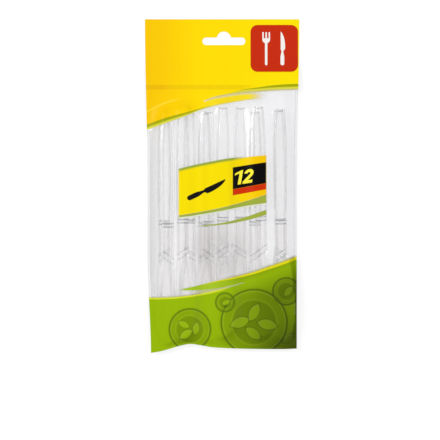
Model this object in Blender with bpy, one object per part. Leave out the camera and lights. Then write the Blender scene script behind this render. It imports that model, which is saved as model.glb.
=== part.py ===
"""A sealed header bag of clear film with twelve clear plastic knives in it.

The pack lies on its back: +X is its right side, +Y points to the header and +Z to the viewer.
The origin is at the middle of its footprint, on the surface that it lies on. Lengths are in metres.
"""

import math

import bmesh
import bpy
import numpy as np
from mathutils import Matrix, Vector
from mathutils.bvhtree import BVHTree

# Knife, measured from the end of the handle
HANDLE_LENGTH = 0.0840
NECK_LENGTH = 0.0230
BLADE_LENGTH = 0.0630
END_WIDTH = 0.0068
GRIP_WIDTH = 0.0098
NECK_WIDTH = 0.0086
SPINE_REACH = 0.0052
BELLY_REACH = 0.0092
HANDLE_DEPTH = 0.0046
NECK_DEPTH = 0.0034
WEB = 0.0012
SIDE_WALL = 0.0012
SPINE_THICKNESS = 0.0017
EDGE_THICKNESS = 0.0008
COLLAR_LENGTH = 0.0016
COLLAR_RISE = 0.0010
SHOULDER_SLOPE = 0.67
SHOULDER_LENGTH = 0.0014
EDGE_ROUND = 0.0004

# How the knives lie in the bag
KNIFE_GAP = 0.0005
LAYER_GAP = 0.0004
FILM_GAP = 0.0003
HEAD_ROOM = 0.0008
LEFT_ROOM = 0.0044
RIGHT_ROOM = 0.0026
END_ROOM = 0.0128
FOOT_ROOM = 0.0113

# Bag
FILM = 0.00015
SEAM = 0.0018
HEADER_HEIGHT = 0.0491
WELD_HEIGHT = 0.0034
HEADER_FLARE = 0.0020
FLARE_LENGTH = 0.1200
CORNER_PULL = 0.0026
CORNER_LENGTH = 0.0720
SEAM_LEVEL = 0.0048
SIDE_ROUND = 0.0040
SIDE_POWER = 2.5
TOP_SLOPE = 0.0120
HEADER_DROP = 0.0250

# Front film, drawn down over the knives: the grid it is worked out on, how far it stays off the
# knives, how strongly it sags between them (curvature per metre), and the rounds of smoothing
DRAPE_PITCH = 0.0010
DRAPE_CLEARANCE = 0.00025
DRAPE_SAG = 60.0
DRAPE_ROUNDS = 700
CELL_PROBES = 6

# Hang slot, measured down from the top edge
SLOT_WIDTH = 0.0320
SLOT_HEIGHT = 0.0056
SLOT_DEPTH = 0.0136
SLOT_SHIFT = 0.0013
HUMP_RADIUS = 0.00525
HUMP_RISE = 0.0044

# Vent punched through the back film, measured up from the bottom seam
VENT_RADIUS = 0.0019
VENT_HEIGHT = 0.0110
VENT_SHIFT = 0.0300

CUT_MARGIN = 0.0020
ROUND_SEGMENTS = 16

KNIFE_LENGTH = HANDLE_LENGTH + NECK_LENGTH + BLADE_LENGTH
BLADE_WIDTH = SPINE_REACH + BELLY_REACH

# Each knife: +1 belly to the left and channel up, or -1 turned over; the free width on its left,
# beside the usual gap; how far it has slid down from the top; its lean in degrees.
FRONT_LAYER = (
    (1, 0.0, 0.0050, 0.0),
    (-1, 0.0, 0.0019, 0.0),
    (1, 0.0, 0.0034, 0.0),
    (-1, 0.0, 0.0004, 0.0),
    (-1, 0.0115, 0.0, -0.3),
    (-1, 0.0, 0.0026, -0.3),
)
BACK_LAYER = (
    (-1, 0.0010, 0.0030, 0.0),
    (1, 0.0, 0.0020, 0.0),
    (-1, 0.0, 0.0044, 0.0),
    (1, 0.0080, 0.0002, 0.0),
    (-1, 0.0, 0.0036, 0.0),
    (1, 0.0, 0.0015, 0.0),
)
LAYER_SIZE = len(FRONT_LAYER)
FREE_WIDTH = sum(knife[1] for knife in FRONT_LAYER)
KNIVES_WIDTH = LAYER_SIZE * BLADE_WIDTH + (LAYER_SIZE - 1) * KNIFE_GAP + FREE_WIDTH

POUCH_WIDTH = LEFT_ROOM + KNIVES_WIDTH + RIGHT_ROOM
HALF_BAG = POUCH_WIDTH / 2 + SEAM
BAG_HEIGHT = HEADER_HEIGHT + WELD_HEIGHT + END_ROOM + KNIFE_LENGTH + FOOT_ROOM + SEAM
TOP_EDGE = BAG_HEIGHT / 2
WELD_TOP = TOP_EDGE - HEADER_HEIGHT
WELD_BOTTOM = WELD_TOP - WELD_HEIGHT
BACK_LEVEL = FILM + FILM_GAP
FRONT_LEVEL = BACK_LEVEL + HANDLE_DEPTH + LAYER_GAP
CAVITY_TOP = FRONT_LEVEL + HANDLE_DEPTH + HEAD_ROOM

# How far the bottom edge rises above its lowest corner, as (share of the width, height)
BOTTOM_LIFT = (
    (0.0, 0.0),
    (0.08, 0.0016),
    (0.20, 0.0054),
    (0.27, 0.0067),
    (0.34, 0.0058),
    (0.42, 0.0043),
    (0.60, 0.0033),
    (0.90, 0.0029),
    (1.0, 0.0033),
)
# Edges of the printed fields, as (share of the width, distance below the weld band)
HEADER_PRINT_EDGE = ((0.0, 0.0252), (0.31, 0.0160), (0.50, 0.0094), (0.70, 0.0056), (1.0, 0.0020))
BASE_PRINT_EDGE = ((0.0, 0.1557), (0.25, 0.1545), (0.50, 0.1470), (0.75, 0.1350), (1.0, 0.1251))

YELLOW_PRINT = (0.98, 0.68, 0.005, 1.0)
GREEN_PRINT = (0.31, 0.48, 0.003, 1.0)
CLEAR_FILM = (0.86, 0.86, 0.86, 0.35)
CLEAR_PLASTIC = (0.90, 0.89, 0.88, 0.45)


def clear_scene():
    for found in list(bpy.data.objects):
        bpy.data.objects.remove(found, do_unlink=True)


def principled(name, colour, roughness):
    """A Principled material; a colour with alpha under 1 is see-through."""
    made = bpy.data.materials.new(name)
    made.use_nodes = True
    made.diffuse_color = colour
    shader = made.node_tree.nodes["Principled BSDF"]
    shader.inputs["Base Color"].default_value = (*colour[:3], 1.0)
    shader.inputs["Alpha"].default_value = colour[3]
    shader.inputs["Roughness"].default_value = roughness
    shader.inputs["Metallic"].default_value = 0.0
    return made


def linked(name, mesh):
    made = bpy.data.objects.new(name, mesh)
    bpy.context.scene.collection.objects.link(made)
    return made


def ease(share):
    """0 to 1 with level ends."""
    share = min(max(share, 0.0), 1.0)
    return share * share * (3 - 2 * share)


def bulge(distance):
    """0 at a seam to 1 where the film has turned into the flat of the pouch."""
    share = min(max(distance / SIDE_ROUND, 0.0), 1.0)
    return (1 - (1 - share) ** SIDE_POWER) ** (1 / SIDE_POWER)


def smooth_curve(points, share):
    """The height at this share of a curve that passes level through its peaks and dips."""
    for i in range(len(points) - 2):
        if share <= points[i + 1][0]:
            break
    else:
        i = len(points) - 2
    before, here, there, after = (points[min(max(k, 0), len(points) - 1)] for k in range(i - 1, i + 3))
    span = there[0] - here[0]
    part = min(max((share - here[0]) / span, 0.0), 1.0)
    leave = (there[1] - before[1]) / (there[0] - before[0]) * span
    arrive = (after[1] - here[1]) / (after[0] - here[0]) * span
    return (
        (2 * part**3 - 3 * part**2 + 1) * here[1]
        + (part**3 - 2 * part**2 + part) * leave
        + (3 * part**2 - 2 * part**3) * there[1]
        + (part**3 - part**2) * arrive
    )


def flare(y):
    return HEADER_FLARE * (1 - ease((TOP_EDGE - y) / FLARE_LENGTH))


def left_edge(y):
    pull = CORNER_PULL * ease((CORNER_LENGTH - TOP_EDGE - y) / CORNER_LENGTH)
    return pull - HALF_BAG - flare(y)


def right_edge(y):
    return HALF_BAG + flare(y)


def width_share(x):
    corner = CORNER_PULL - HALF_BAG
    return min(max((x - corner) / (HALF_BAG - corner), 0.0), 1.0)


def bottom_edge(x):
    return smooth_curve(BOTTOM_LIFT, width_share(x)) - TOP_EDGE


def header_print_edge(x):
    return WELD_BOTTOM - smooth_curve(HEADER_PRINT_EDGE, width_share(x))


def base_print_edge(x):
    return WELD_BOTTOM - smooth_curve(BASE_PRINT_EDGE, width_share(x))


def fullness(x, y):
    """0 along the seams to 1 over the knives."""
    sides = bulge(x - left_edge(y) - SEAM) * bulge(right_edge(y) - SEAM - x)
    return sides * bulge(y - bottom_edge(x) - SEAM) * ease((WELD_BOTTOM - y) / TOP_SLOPE)


def seam_level(y):
    """The middle of the joined films: level round the pouch, then down to the surface at the header."""
    fall = ease((y - WELD_TOP) / HEADER_DROP)
    return SEAM_LEVEL + (FILM - SEAM_LEVEL) * fall


def inside_pouch(x, y):
    """Whether a place is inside the seams and below the weld band."""
    sides = left_edge(y) + SEAM < x < right_edge(y) - SEAM
    return sides and bottom_edge(x) + SEAM < y < WELD_BOTTOM


def cavity_floor(x, y):
    return SEAM_LEVEL + fullness(x, y) * (FILM - SEAM_LEVEL)


def back_face(x, y):
    return (cavity_floor(x, y) if y < WELD_BOTTOM else seam_level(y)) - FILM


def knife_top(tree, x, y):
    """The height of the knives at a place, or the surface that the pack lies on."""
    hit = tree.ray_cast(Vector((x, y, 2 * CAVITY_TOP)), Vector((0, 0, -1)))[0]
    return hit.z + DRAPE_CLEARANCE if hit else 0.0


class Drape:
    """The front film's inner face, held at the seams and drawn tight over the knives."""

    def __init__(self, tree):
        self.x0, self.y0 = -right_edge(TOP_EDGE), -TOP_EDGE
        columns = int(-2 * self.x0 / DRAPE_PITCH) + 2
        rows = int((WELD_BOTTOM - self.y0) / DRAPE_PITCH) + 2
        places = [
            [(self.x0 + i * DRAPE_PITCH, self.y0 + j * DRAPE_PITCH) for i in range(columns)] for j in range(rows)
        ]
        free = np.array([[inside_pouch(x, y) for x, y in row] for row in places])
        held = np.array([[knife_top(tree, x, y) for x, y in row] for row in places])
        held = np.maximum(np.where(free, held, 0.0), SEAM_LEVEL)
        level = held
        sag = DRAPE_SAG * DRAPE_PITCH**2 / 4
        for _ in range(DRAPE_ROUNDS):
            mean = level.copy()
            mean[1:-1, 1:-1] = (level[:-2, 1:-1] + level[2:, 1:-1] + level[1:-1, :-2] + level[1:-1, 2:]) / 4
            level = np.where(free, np.maximum(mean - sag, held), SEAM_LEVEL)
        self.level = level

    def at(self, x, y):
        """The height at a place, between the four nearest points of the grid."""
        u, v = (x - self.x0) / DRAPE_PITCH, (y - self.y0) / DRAPE_PITCH
        i, j = int(u), int(v)
        s, t = u - i, v - j
        near, far = self.level[j], self.level[j + 1]
        return (near[i] * (1 - s) + near[i + 1] * s) * (1 - t) + (far[i] * (1 - s) + far[i + 1] * s) * t


def highest_in_cell(tree, corners):
    """The highest point of the knives under one cell of a grid."""
    (ax, ay), (bx, by), (cx, cy), (dx, dy) = corners
    highest = 0.0
    for s in (k / CELL_PROBES for k in range(CELL_PROBES + 1)):
        for t in (k / CELL_PROBES for k in range(CELL_PROBES + 1)):
            x = (ax * (1 - s) + bx * s) * (1 - t) + (dx * (1 - s) + cx * s) * t
            y = (ay * (1 - s) + by * s) * (1 - t) + (dy * (1 - s) + cy * s) * t
            highest = max(highest, knife_top(tree, x, y))
    return highest


def film_levels(grid, weld_row, tree):
    """The inner face of the front film at each point of a grid, clear of the knives in every cell."""
    drape = Drape(tree)
    levels = {(x, y): seam_level(y) for row in grid for x, y in row}
    for row in grid[2:weld_row]:
        levels.update({(x, y): drape.at(x, y) for x, y in row[2:-2]})
    for low, high in zip(grid[1:weld_row], grid[2:]):
        for i in range(1, len(low) - 2):
            corners = [low[i], low[i + 1], high[i + 1], high[i]]
            highest = highest_in_cell(tree, corners)
            for corner in corners:
                levels[corner] = max(levels[corner], highest)
    return levels


def edge_steps():
    """Distances from an edge of the bag where the turned film needs a line of points."""
    return [0.0, SEAM] + [SEAM + SIDE_ROUND * share for share in (0.08, 0.25, 0.55, 1.0)]


def column_lines(middle=32):
    """Lines that run up the bag, each a function of y."""
    steps = edge_steps()
    inner = steps[-1]
    lines = [lambda y, d=d: left_edge(y) + d for d in steps]
    for i in range(1, middle):
        part = i / middle
        lines.append(lambda y, p=part: (left_edge(y) + inner) * (1 - p) + (right_edge(y) - inner) * p)
    lines += [lambda y, d=d: right_edge(y) - d for d in reversed(steps)]
    return lines


def blend(low, high, count):
    """Lines spread evenly between two lines, without them."""
    shares = [i / (count + 1) for i in range(1, count + 1)]
    return [lambda x, p=p: low(x) * (1 - p) + high(x) * p for p in shares]


def row_lines():
    """Lines that run across the bag, each a function of x, from the bottom edge up.

    They follow the bottom edge and the edges of the printed fields. Returns the lines and the
    index of the base print's edge, the header print's edge and the weld band's lower line.
    """
    lines = [lambda x, d=d: bottom_edge(x) + d for d in edge_steps()]
    lines += blend(lines[-1], base_print_edge, 6)
    lines.append(base_print_edge)
    base_row = len(lines) - 1
    approach = [lambda x, d=d: header_print_edge(x) - TOP_SLOPE * d for d in (1.3, 0.85, 0.5, 0.2)]
    lines += blend(base_print_edge, approach[0], 12) + approach
    lines.append(header_print_edge)
    header_row = len(lines) - 1
    lines += blend(header_print_edge, lambda x: WELD_BOTTOM, 4)
    weld_row = len(lines)
    levels = [WELD_BOTTOM, WELD_TOP]
    levels += [WELD_TOP + HEADER_DROP * share for share in (0.17, 0.33, 0.5, 0.67, 0.83, 1.0)]
    levels.append(TOP_EDGE)
    lines += [lambda x, y=y: y for y in levels]
    return lines, base_row, header_row, weld_row


def crossing(row, column):
    """The point where a line across meets a line up."""
    y = row(0.0)
    for _ in range(6):
        x = column(y)
        y = row(x)
    return x, y


def pillow(name, grid, upper, lower, row_material=None):
    """A closed mesh between two height functions over a grid of (x, y) points."""
    bm = bmesh.new()
    tops, floors = [], []
    for row in grid:
        tops.append([bm.verts.new((x, y, upper(x, y))) for x, y in row])
        floors.append([])
        for top, (x, y) in zip(tops[-1], row):
            level = lower(x, y)
            joined = top.co.z - level < EDGE_ROUND / 1000
            floors[-1].append(top if joined else bm.verts.new((x, y, level)))
    rows, columns = len(grid), len(grid[0])
    for j in range(rows - 1):
        for i in range(columns - 1):
            corners = [(j, i), (j, i + 1), (j + 1, i + 1), (j + 1, i)]
            over = bm.faces.new([tops[a][b] for a, b in corners])
            under = bm.faces.new([floors[a][b] for a, b in reversed(corners)])
            if row_material:
                over.material_index = under.material_index = row_material(j)
    rim = [(0, i) for i in range(columns)] + [(j, columns - 1) for j in range(1, rows)]
    rim += [(rows - 1, i) for i in range(columns - 2, -1, -1)] + [(j, 0) for j in range(rows - 2, 0, -1)]
    if tops[0][0] is not floors[0][0]:
        for (a, b), (c, d) in zip(rim, rim[1:] + rim[:1]):
            side = bm.faces.new([floors[a][b], floors[c][d], tops[c][d], tops[a][b]])
            if row_material:
                side.material_index = row_material(min(a, c))
    bmesh.ops.triangulate(bm, faces=bm.faces, quad_method="FIXED")
    mesh = bpy.data.meshes.new(name)
    bm.to_mesh(mesh)
    bm.free()
    return mesh


def prism(name, outline, low, high):
    """A straight-sided block over an outline given anticlockwise."""
    bm = bmesh.new()
    ring = [bm.verts.new((x, y, low)) for x, y in outline]
    face = bm.faces.new(ring)
    raised = bmesh.ops.extrude_face_region(bm, geom=[face])["geom"]
    points = [item for item in raised if isinstance(item, bmesh.types.BMVert)]
    bmesh.ops.translate(bm, verts=points, vec=(0, 0, high - low))
    bmesh.ops.recalc_face_normals(bm, faces=bm.faces)
    mesh = bpy.data.meshes.new(name)
    bm.to_mesh(mesh)
    bm.free()
    return mesh


def cutter(target, name, mesh):
    """Subtracts a hidden helper from the target."""
    helper = linked(name, mesh)
    helper.hide_render = True
    helper.display_type = "WIRE"
    cut = target.modifiers.new(name, "BOOLEAN")
    cut.operation = "DIFFERENCE"
    cut.solver = "MANIFOLD"
    cut.object = helper
    return helper


def arc(centre, radius, start, end, segments):
    return [
        (centre[0] + radius * math.cos(angle), centre[1] + radius * math.sin(angle))
        for angle in (start + (end - start) * i / segments for i in range(segments + 1))
    ]


def slot_outline():
    """A long slot with round ends and a round hump on its upper side."""
    bottom = TOP_EDGE - SLOT_DEPTH - SLOT_HEIGHT
    end = SLOT_HEIGHT / 2
    reach = SLOT_WIDTH / 2 - end
    hump_centre = bottom + SLOT_HEIGHT + HUMP_RISE - HUMP_RADIUS
    foot = math.asin((bottom + SLOT_HEIGHT - hump_centre) / HUMP_RADIUS)
    points = arc((SLOT_SHIFT + reach, bottom + end), end, -math.pi / 2, math.pi / 2, ROUND_SEGMENTS // 2)
    points += arc((SLOT_SHIFT, hump_centre), HUMP_RADIUS, foot, math.pi - foot, ROUND_SEGMENTS)
    points += arc((SLOT_SHIFT - reach, bottom + end), end, math.pi / 2, 1.5 * math.pi, ROUND_SEGMENTS // 2)
    return points


def make_bag(tree):
    """Front and back film in one piece, joined along the seams, the weld band and the header."""
    lines, base_row, header_row, weld_row = row_lines()
    columns = column_lines()
    grid = [[crossing(row, column) for column in columns] for row in lines]

    def printed(row):
        return 2 if row < base_row else 1 if row >= header_row else 0

    levels = film_levels(grid, weld_row, tree)

    def cavity_top(x, y):
        return levels[x, y]

    def front_face(x, y):
        return levels[x, y] + FILM

    bag = linked("bag", pillow("bag", grid, front_face, back_face, printed))
    bag.data.materials.append(principled("clear_film", CLEAR_FILM, 0.15))
    bag.data.materials.append(principled("yellow_print", YELLOW_PRINT, 0.25))
    bag.data.materials.append(principled("green_print", GREEN_PRINT, 0.25))

    inside = [row[1:-1] for row in grid[1 : weld_row + 1]]
    cutter(bag, "pouch_space", pillow("pouch_space", inside, cavity_top, cavity_floor))
    cutter(bag, "hang_slot", prism("hang_slot", slot_outline(), -CUT_MARGIN, CUT_MARGIN))
    vent_place = (VENT_SHIFT, bottom_edge(VENT_SHIFT) + SEAM + VENT_HEIGHT)
    ring = arc(vent_place, VENT_RADIUS, 0.0, 2 * math.pi, ROUND_SEGMENTS)[:-1]
    cutter(bag, "vent", prism("vent", ring, -CUT_MARGIN, FILM + FILM_GAP))
    return bag


def knife_stations():
    """Cross-sections from the handle's end to the tip.

    Each is the distance along the knife, the reach to the belly side and to the spine side, the
    height of the two rims, the thickness between them, and how far the section is slanted.
    """
    grip, neck = GRIP_WIDTH / 2, NECK_WIDTH / 2
    depth = HANDLE_DEPTH
    stations = []

    def handle(share, half, height):
        stations.append((HANDLE_LENGTH * share, half, half, height, height, WEB, WEB, 0.0))

    end = END_WIDTH / 2
    handle(0.0, end - EDGE_ROUND, depth * 0.80)
    handle(0.008, end, depth * 0.86)
    handle(0.12, end + (grip - end) * 0.45, depth * 0.96)
    handle(0.30, grip - (grip - end) * 0.06, depth)
    handle(0.60, grip, depth)
    handle(0.85, neck + (grip - neck) * 0.7, depth)
    collar = HANDLE_LENGTH - COLLAR_LENGTH
    raised = WEB + COLLAR_RISE
    for offset, web in ((0.0, WEB), (0.3, raised), (0.7, raised), (1.0, WEB)):
        place = collar + COLLAR_LENGTH * offset
        stations.append((place, neck, neck, NECK_DEPTH, NECK_DEPTH, web, web, 0.0))
    shoulder = HANDLE_LENGTH + NECK_LENGTH
    stations.append((shoulder - NECK_LENGTH * 0.5, neck, neck, NECK_DEPTH, NECK_DEPTH, WEB, WEB, 0.35))

    slim = EDGE_ROUND / 8

    def blade(share, belly, spine, slant):
        edge = EDGE_THICKNESS + (SPINE_THICKNESS - EDGE_THICKNESS) * 0.4 * slant
        section = (edge, SPINE_THICKNESS, edge - slim, SPINE_THICKNESS - slim)
        stations.append((shoulder + BLADE_LENGTH * share, belly, spine, *section, slant))

    start = shoulder - SHOULDER_LENGTH
    stations.append((start, neck, neck, NECK_DEPTH, NECK_DEPTH, WEB, WEB, 1.0))
    blade(0.0, neck * 1.02, neck * 1.02, 1.0)
    widen = BELLY_REACH - neck
    blade(0.13, neck + widen * 0.27, SPINE_REACH * 0.96, 0.6)
    blade(0.26, neck + widen * 0.56, SPINE_REACH * 0.99, 0.25)
    blade(0.43, neck + widen * 0.84, SPINE_REACH, 0.0)
    blade(0.60, BELLY_REACH, SPINE_REACH, 0.0)
    blade(0.74, BELLY_REACH * 0.97, SPINE_REACH * 0.95, 0.0)
    blade(0.85, BELLY_REACH * 0.83, SPINE_REACH * 0.84, 0.0)
    blade(0.93, BELLY_REACH * 0.58, SPINE_REACH * 0.68, 0.0)
    blade(0.98, BELLY_REACH * 0.25, SPINE_REACH * 0.46, 0.0)
    blade(1.0, 0.0, SPINE_REACH * 0.24, 0.0)
    return stations


def knife_section(station):
    """Points round one section: a channel that is open upwards, or a flat blade."""
    along, belly, spine, belly_rim, spine_rim, belly_web, spine_web, slant = station
    wall = min(SIDE_WALL, (belly + spine) * 0.3)
    foot = min(EDGE_ROUND, belly_rim * 0.3)
    lip_b, lip_s = (min(EDGE_ROUND * 0.6, (rim - web) * 0.4) for rim, web in
                    ((belly_rim, belly_web), (spine_rim, spine_web)))
    outline = (
        (-belly, foot), (foot - belly, 0.0), (spine - foot, 0.0), (spine, foot),
        (spine, spine_rim - lip_s), (spine - lip_s, spine_rim),
        (spine - wall + lip_s, spine_rim), (spine - wall, spine_rim - lip_s), (spine - wall, spine_web),
        (wall - belly, belly_web), (wall - belly, belly_rim - lip_b), (wall - belly - lip_b, belly_rim),
        (lip_b - belly, belly_rim), (-belly, belly_rim - lip_b),
    )
    return [Vector((x, -along - slant * SHOULDER_SLOPE * x, z)) for x, z in outline]


def make_knife_mesh():
    """One knife with its handle's end at the origin and its tip towards -Y, channel up."""
    bm = bmesh.new()
    rings = [[bm.verts.new(point) for point in knife_section(s)] for s in knife_stations()]
    for ring, following in zip(rings, rings[1:]):
        for i in range(len(ring)):
            k = (i + 1) % len(ring)
            bm.faces.new([ring[i], ring[k], following[k], following[i]])
    bm.faces.new(list(reversed(rings[0])))
    bm.faces.new(rings[-1])
    bmesh.ops.recalc_face_normals(bm, faces=bm.faces)
    mesh = bpy.data.meshes.new("knife")
    bm.to_mesh(mesh)
    bm.free()
    mesh.shade_smooth()
    mesh.set_sharp_from_angle(angle=math.radians(35))
    mesh.materials.append(principled("clear_plastic", CLEAR_PLASTIC, 0.12))
    return mesh


def knife_matrix(side, x, slide, lean, level):
    """Where a knife lies: on its back, or turned over about its length."""
    end = Vector((x, WELD_BOTTOM - END_ROOM - slide, level if side > 0 else level + HANDLE_DEPTH))
    turn = Matrix.Rotation(math.radians(lean), 4, "Z")
    flip = Matrix.Identity(4) if side > 0 else Matrix.Rotation(math.pi, 4, "Y")
    return Matrix.Translation(end) @ turn @ flip


def place_layer(layer, level, first, mesh, pack):
    """Lays one layer of knives side by side from the left."""
    x = LEFT_ROOM - POUCH_WIDTH / 2
    for number, (side, free, slide, lean) in enumerate(layer, first):
        x += free
        axis = x + (BELLY_REACH if side > 0 else SPINE_REACH)
        knife = linked(f"knife_{number:02d}", mesh)
        knife.parent = pack
        knife.matrix_world = knife_matrix(side, axis, slide, lean, level)
        x += BLADE_WIDTH + KNIFE_GAP


def knives_tree(pack):
    """A search tree over all the knives where they lie."""
    points, faces = [], []
    for knife in pack.children:
        start = len(points)
        points += [knife.matrix_world @ v.co for v in knife.data.vertices]
        faces += [[start + i for i in polygon.vertices] for polygon in knife.data.polygons]
    return BVHTree.FromPolygons(points, faces)


def main():
    clear_scene()
    pack = linked("pack", None)
    knife = make_knife_mesh()
    place_layer(FRONT_LAYER, FRONT_LEVEL, 1, knife, pack)
    place_layer(BACK_LAYER, BACK_LEVEL, 1 + LAYER_SIZE, knife, pack)
    bpy.context.view_layer.update()
    bag = make_bag(knives_tree(pack))
    bag.parent = pack


main()
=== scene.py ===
"""Looks of the cutlery pack: draped clear film with its print, clear knives, and a pale stage."""

import math

import bmesh
import bpy
import numpy as np
from mathutils import Matrix, Vector, noise
from mathutils.bvhtree import BVHTree


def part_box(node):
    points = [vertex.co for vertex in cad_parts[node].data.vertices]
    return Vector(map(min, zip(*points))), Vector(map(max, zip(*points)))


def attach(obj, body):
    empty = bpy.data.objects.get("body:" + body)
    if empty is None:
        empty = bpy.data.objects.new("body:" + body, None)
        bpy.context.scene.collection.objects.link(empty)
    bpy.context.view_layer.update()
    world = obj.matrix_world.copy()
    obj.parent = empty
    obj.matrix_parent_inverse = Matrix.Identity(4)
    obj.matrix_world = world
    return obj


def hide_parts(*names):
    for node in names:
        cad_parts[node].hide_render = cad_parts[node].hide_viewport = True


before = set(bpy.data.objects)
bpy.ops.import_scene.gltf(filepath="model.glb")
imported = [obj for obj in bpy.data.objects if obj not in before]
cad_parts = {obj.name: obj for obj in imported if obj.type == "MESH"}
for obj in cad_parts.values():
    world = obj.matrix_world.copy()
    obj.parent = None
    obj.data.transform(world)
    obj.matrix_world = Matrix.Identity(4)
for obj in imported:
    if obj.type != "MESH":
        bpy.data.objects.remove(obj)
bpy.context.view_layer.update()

# The photograph's frame: pixels to metres in the pack's plane
IMAGE_SIZE = 440
PIXEL = 0.000745
PIXEL_X0 = 222.1
PIXEL_TOP = 19.3

# Bag, as the frame's bag node has it
BAG_LOW, BAG_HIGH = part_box("bag")
TOP_EDGE = BAG_HIGH.y
FILM = 0.00015
SEAM = 0.0018
HEADER_HEIGHT = 0.0491
WELD_HEIGHT = 0.0034
WELD_TOP = TOP_EDGE - HEADER_HEIGHT
WELD_BOTTOM = WELD_TOP - WELD_HEIGHT
HEADER_FLARE = 0.0020
FLARE_LENGTH = 0.1200
HALF_BAG = BAG_HIGH.x - HEADER_FLARE
CORNER_PULL = 0.0026
CORNER_LENGTH = 0.0720
SEAM_LEVEL = 0.0048
SIDE_ROUND = 0.0040
SIDE_POWER = 2.5
TOP_SLOPE = 0.0120
HEADER_DROP = 0.0250
BOTTOM_LIFT = (
    (0.0, 0.0), (0.08, 0.0016), (0.20, 0.0054), (0.27, 0.0067), (0.34, 0.0058),
    (0.42, 0.0043), (0.60, 0.0033), (0.90, 0.0029), (1.0, 0.0033),
)
SLOT_WIDTH = 0.0320
SLOT_HEIGHT = 0.0056
SLOT_DEPTH = 0.0136
SLOT_SHIFT = 0.0013
HUMP_RADIUS = 0.00525
HUMP_RISE = 0.0044
VENT_RADIUS = 0.0019
VENT_HEIGHT = 0.0110
VENT_SHIFT = 0.0300
CUT_LOW, CUT_HIGH = -0.003, 0.004

# Ink laid on the film as thin pieces
PRINT_PITCH = 0.0009
INK_LIFT = 0.00005
INK_THICKNESS = 0.00004
LABEL_TILT = 0.155
FIGURE_SLANT = 0.16
FIGURE_STEP = 0.58
FIGURES_WIDTH = 1.22
NUMBER_BOX = (233.8, 171.6, 254.6, 185.4)
WORD_BOX = (187.5, 181.0, 226.5, 199.0)
BADGE_BOX = (250.5, 25.0, 298.0, 72.0)
BADGE_ROUND = 7.0

# Film over the knives
LOOK_FROM = 0.05
DRAPE_PITCH = 0.0008
DRAPE_CLEARANCE = 0.00025
KNIFE_CLEARANCE = 0.00035
DRAPE_SAG = 60.0
DRAPE_ROUNDS = 1100
FILM_PITCH = 0.00135
EDGE_PITCH = 0.00055
EDGE_BAND = 0.0050
FAN_FOLD, FAN_REACH = 0.00042, 0.016
PUCKER_FOLD, PUCKER_REACH = 0.00034, 0.007
SLACK_FOLD = 0.00016
HEADER_WAVE = 0.00022

# Knife
HANDLE_LENGTH = 0.0840
NECK_LENGTH = 0.0230
BLADE_LENGTH = 0.0630
END_WIDTH = 0.0068
GRIP_WIDTH = 0.0098
NECK_WIDTH = 0.0086
SPINE_REACH = 0.0052
BELLY_REACH = 0.0092
HANDLE_DEPTH = 0.0046
NECK_DEPTH = 0.0034
WEB = 0.0012
SIDE_WALL = 0.0012
SPINE_THICKNESS = 0.0017
EDGE_THICKNESS = 0.0008
COLLAR_LENGTH = 0.0016
COLLAR_RISE = 0.0010
SHOULDER_SLOPE = 0.67
SHOULDER_LENGTH = 0.0014
EDGE_ROUND = 0.0004
LEAST_LIP = 0.00002
SHOULDER = HANDLE_LENGTH + NECK_LENGTH
COLLAR_MIDDLE = HANDLE_LENGTH - COLLAR_LENGTH / 2
SHOULDER_RIDGES = (0.0012, 0.0027)
RIDGE_HEIGHT = 0.0003
RIDGE_WIDTH = 0.0007
# Points of a section's ring: along the tops of the walls, where painted highlights go, and where walls meet
# the web, where painted shade goes
WALL_POINTS = (6, 7, 8, 9, 10, 17, 18, 19, 20, 21)
CREASE_POINTS = (11, 12, 15, 16)
KNIFE_COUNT = 12
KNIFE_RINGS = 84


def px(x):
    return (x - PIXEL_X0) * PIXEL


def py(y):
    return TOP_EDGE - (y - PIXEL_TOP) * PIXEL


def spots(points):
    """Pixel places in the photograph as places in the pack's plane."""
    return [(px(x), py(y)) for x, y in points]


def ease(share):
    share = min(max(share, 0.0), 1.0)
    return share * share * (3 - 2 * share)


def bend(t, here, there, leave, arrive):
    """A smooth way from one height to the next, as t goes from 0 to 1, with the slopes at both ends."""
    return (
        (2 * t**3 - 3 * t**2 + 1) * here
        + (t**3 - 2 * t**2 + t) * leave
        + (3 * t**2 - 2 * t**3) * there
        + (t**3 - t**2) * arrive
    )


def smooth_curve(points, share):
    """The height at this share of a smooth curve through the points."""
    last = len(points) - 1
    i = next((k for k in range(last - 1) if share <= points[k + 1][0]), last - 1)
    before, here, there, after = (points[min(max(k, 0), last)] for k in range(i - 1, i + 3))
    span = there[0] - here[0]
    part = min(max((share - here[0]) / span, 0.0), 1.0)
    leave = (there[1] - before[1]) / (there[0] - before[0]) * span
    arrive = (after[1] - here[1]) / (after[0] - here[0]) * span
    return bend(part, here[1], there[1], leave, arrive)


# Objects and surfaces


def link_object(name, mesh):
    made = bpy.data.objects.new(name, mesh)
    bpy.context.scene.collection.objects.link(made)
    return made


def mesh_object(name, bm):
    mesh = bpy.data.meshes.new(name)
    bm.to_mesh(mesh)
    bm.free()
    return link_object(name, mesh)


def thicken(bm, height):
    """Turns flat faces into a solid of this height."""
    raised = bmesh.ops.extrude_face_region(bm, geom=bm.faces[:])["geom"]
    tops = [item for item in raised if isinstance(item, bmesh.types.BMVert)]
    bmesh.ops.translate(bm, verts=tops, vec=(0, 0, height))
    bmesh.ops.recalc_face_normals(bm, faces=bm.faces)


def surface_tree(pieces):
    """A search tree over the faces of all the pieces where they lie."""
    points, faces = [], []
    for piece in pieces:
        start = len(points)
        points += [piece.matrix_world @ v.co for v in piece.data.vertices]
        faces += [[start + i for i in p.vertices] for p in piece.data.polygons]
    return BVHTree.FromPolygons(points, faces)


def look_down(tree, x, y):
    """How high the surfaces reach at this place, or 0 where there are none."""
    hit = tree.ray_cast(Vector((x, y, LOOK_FROM)), Vector((0, 0, -1)))[0]
    return hit.z if hit else 0.0


# Outline of the bag


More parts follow.
